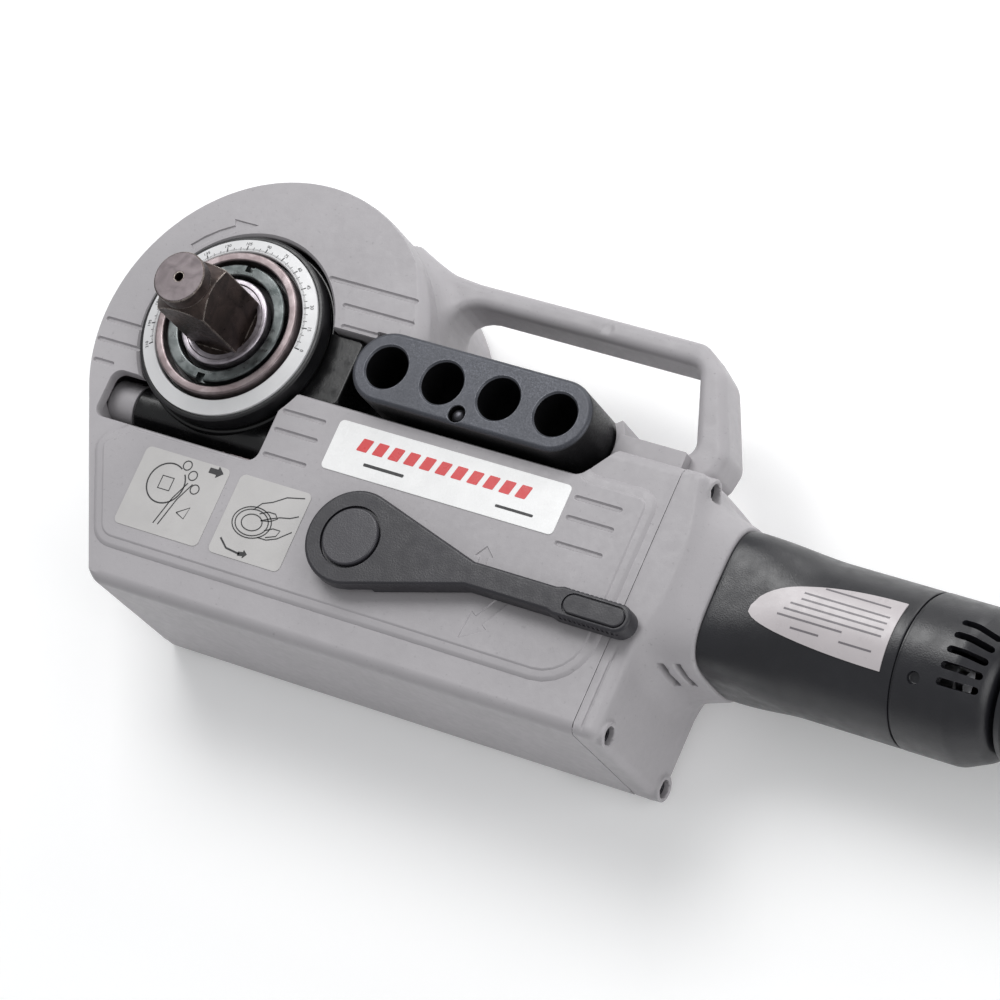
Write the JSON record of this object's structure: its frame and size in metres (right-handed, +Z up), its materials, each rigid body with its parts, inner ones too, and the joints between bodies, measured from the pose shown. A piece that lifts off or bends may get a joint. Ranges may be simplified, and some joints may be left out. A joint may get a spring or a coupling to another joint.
{
  "type": "electric pipe bender",
  "caption": "Electric bending drive lying on its back: square output spindle with degree dial, former block with pin bores, carrying handle, motor and switch grip.",
  "frame": {"origin": "on the output spindle's axis, in the plane of the rubber feet that it rests on", "axes": "+Z up along the output spindle, +X from the round head to the motor and grip, +Y towards the carrying handle"},
  "size_m": [0.653, 0.2155, 0.151],
  "materials": {
    "casting_grey": "semi-matt warm grey paint on cast aluminium",
    "case_black": "semi-gloss black paint on cast iron",
    "block_steel": "satin blue-grey burnished steel",
    "spindle_oxide": "brown-black burnished steel, worn bright at the edges",
    "ring_dark": "dark machined steel, oiled",
    "bronze": "dull bronze",
    "gear_steel": "machined steel, oiled",
    "dial_black": "glossy black plastic",
    "dial_white": "white scale with black ticks and numbers",
    "lever_plastic": "finely textured dark grey plastic",
    "motor_plastic": "satin black moulded plastic",
    "switch_plastic": "black plastic",
    "copper": "enamelled copper",
    "brass": "drawn brass",
    "lamination": "stacked steel laminations",
    "carbon": "carbon",
    "zinc_screw": "zinc-plated steel",
    "foot_rubber": "black rubber",
    "label_white": "white printed label, laminated",
    "decal_film": "clear film with black line drawings",
    "rating_film": "silver printed film",
    "seal_rubber": "oil-resistant rubber"
  },
  "bodies": {
    "root": {"front_housing": "casting_grey", "rear_cover": "casting_grey", "end_flange": "casting_grey", "carry_handle": "casting_grey", "gear_case": "case_black", "worm_plug": "casting_grey", "front_bush": "bronze", "rear_bush": "bronze", "spindle_seal": "seal_rubber", "bearing_nut": "ring_dark", "dial_bearing_ring": "bronze", "former_block": "block_steel", "block_screw": "zinc_screw", "drive_bracket": "gear_steel", "worm_bearings": "gear_steel", "counter_bushes": "bronze", "direction_switch": "switch_plastic", "motor_housing": "motor_plastic", "motor_rear_cover": "motor_plastic", "stator_core": "lamination", "field_coils": "copper", "brush_holders": "brass", "carbon_brushes": "carbon", "motor_bearings": "gear_steel", "grip_upper": "motor_plastic", "grip_lower": "motor_plastic", "switch_body": "switch_plastic", "cable_gland": "switch_plastic", "flange_screws": "zinc_screw", "cover_screws": "zinc_screw", "motor_screws": "zinc_screw", "grip_screws": "zinc_screw", "rubber_feet": "foot_rubber", "name_plate": "label_white", "instruction_decals": "decal_film", "rating_plate": "rating_film"},
    "spindle": {"output_spindle": "spindle_oxide", "final_gear": "gear_steel", "spindle_circlip": "gear_steel"},
    "countershaft": {"counter_pinion": "gear_steel", "worm_wheel": "bronze"},
    "worm": {"worm_shaft": "gear_steel", "input_gear": "gear_steel"},
    "idler": {"idler_shaft": "gear_steel", "idler_gear": "gear_steel"},
    "armature": {"armature_shaft": "gear_steel", "armature_core": "lamination", "commutator": "copper", "cooling_fan": "switch_plastic"},
    "dial": {"dial_carrier": "dial_black", "scale_ring": "dial_white"},
    "lever": {"selector_lever": "lever_plastic", "lever_cap": "lever_plastic", "lever_shaft": "gear_steel"},
    "trigger_body": {"trigger": "lever_plastic"},
    "lock_body": {"lock_button": "lever_plastic"}
  },
  "joints": [
    {"name": "spindle_turn", "type": "hinge", "parent": "root", "child": "spindle", "pos_m": [0, 0, 0], "axis": [0, 0, 1], "continuous": true},
    {"name": "countershaft_turn", "type": "hinge", "parent": "root", "child": "countershaft", "pos_m": [0.02679, -0.0775, 0.03], "axis": [0, 0, 1], "continuous": true},
    {"name": "worm_turn", "type": "hinge", "parent": "root", "child": "worm", "pos_m": [0.1, -0.043, 0.07], "axis": [1, 0, 0], "continuous": true},
    {"name": "idler_turn", "type": "hinge", "parent": "root", "child": "idler", "pos_m": [0.22, -0.06084, 0.06421], "axis": [1, 0, 0], "continuous": true},
    {"name": "armature_turn", "type": "hinge", "parent": "root", "child": "armature", "pos_m": [0.3, -0.05, 0.048], "axis": [1, 0, 0], "continuous": true},
    {"name": "dial_turn", "type": "hinge", "parent": "root", "child": "dial", "pos_m": [0, 0, 0.09], "axis": [0, 0, 1], "continuous": true},
    {"name": "lever_turn", "type": "hinge", "parent": "root", "child": "lever", "pos_m": [0.112, -0.0816, 0.095], "axis": [0, 0, 1], "range_deg": [-20, 20]},
    {"name": "trigger_press", "type": "slide", "parent": "root", "child": "trigger_body", "axis": [0, 1, 0], "range_m": [0, 0.006], "stiffness_N_per_m": 800, "springref_m": -0.003},
    {"name": "lock_press", "type": "slide", "parent": "root", "child": "lock_body", "axis": [0, 0, -1], "range_m": [0, 0.0025], "stiffness_N_per_m": 600, "springref_m": -0.002}
  ],
  "couplings": [
    {"joint": "countershaft_turn", "follows": "spindle_turn", "ratio": -2.7273},
    {"joint": "worm_turn", "follows": "spindle_turn", "ratio": -98.182},
    {"joint": "idler_turn", "follows": "spindle_turn", "ratio": 147.27},
    {"joint": "armature_turn", "follows": "spindle_turn", "ratio": -374.88}
  ]
}
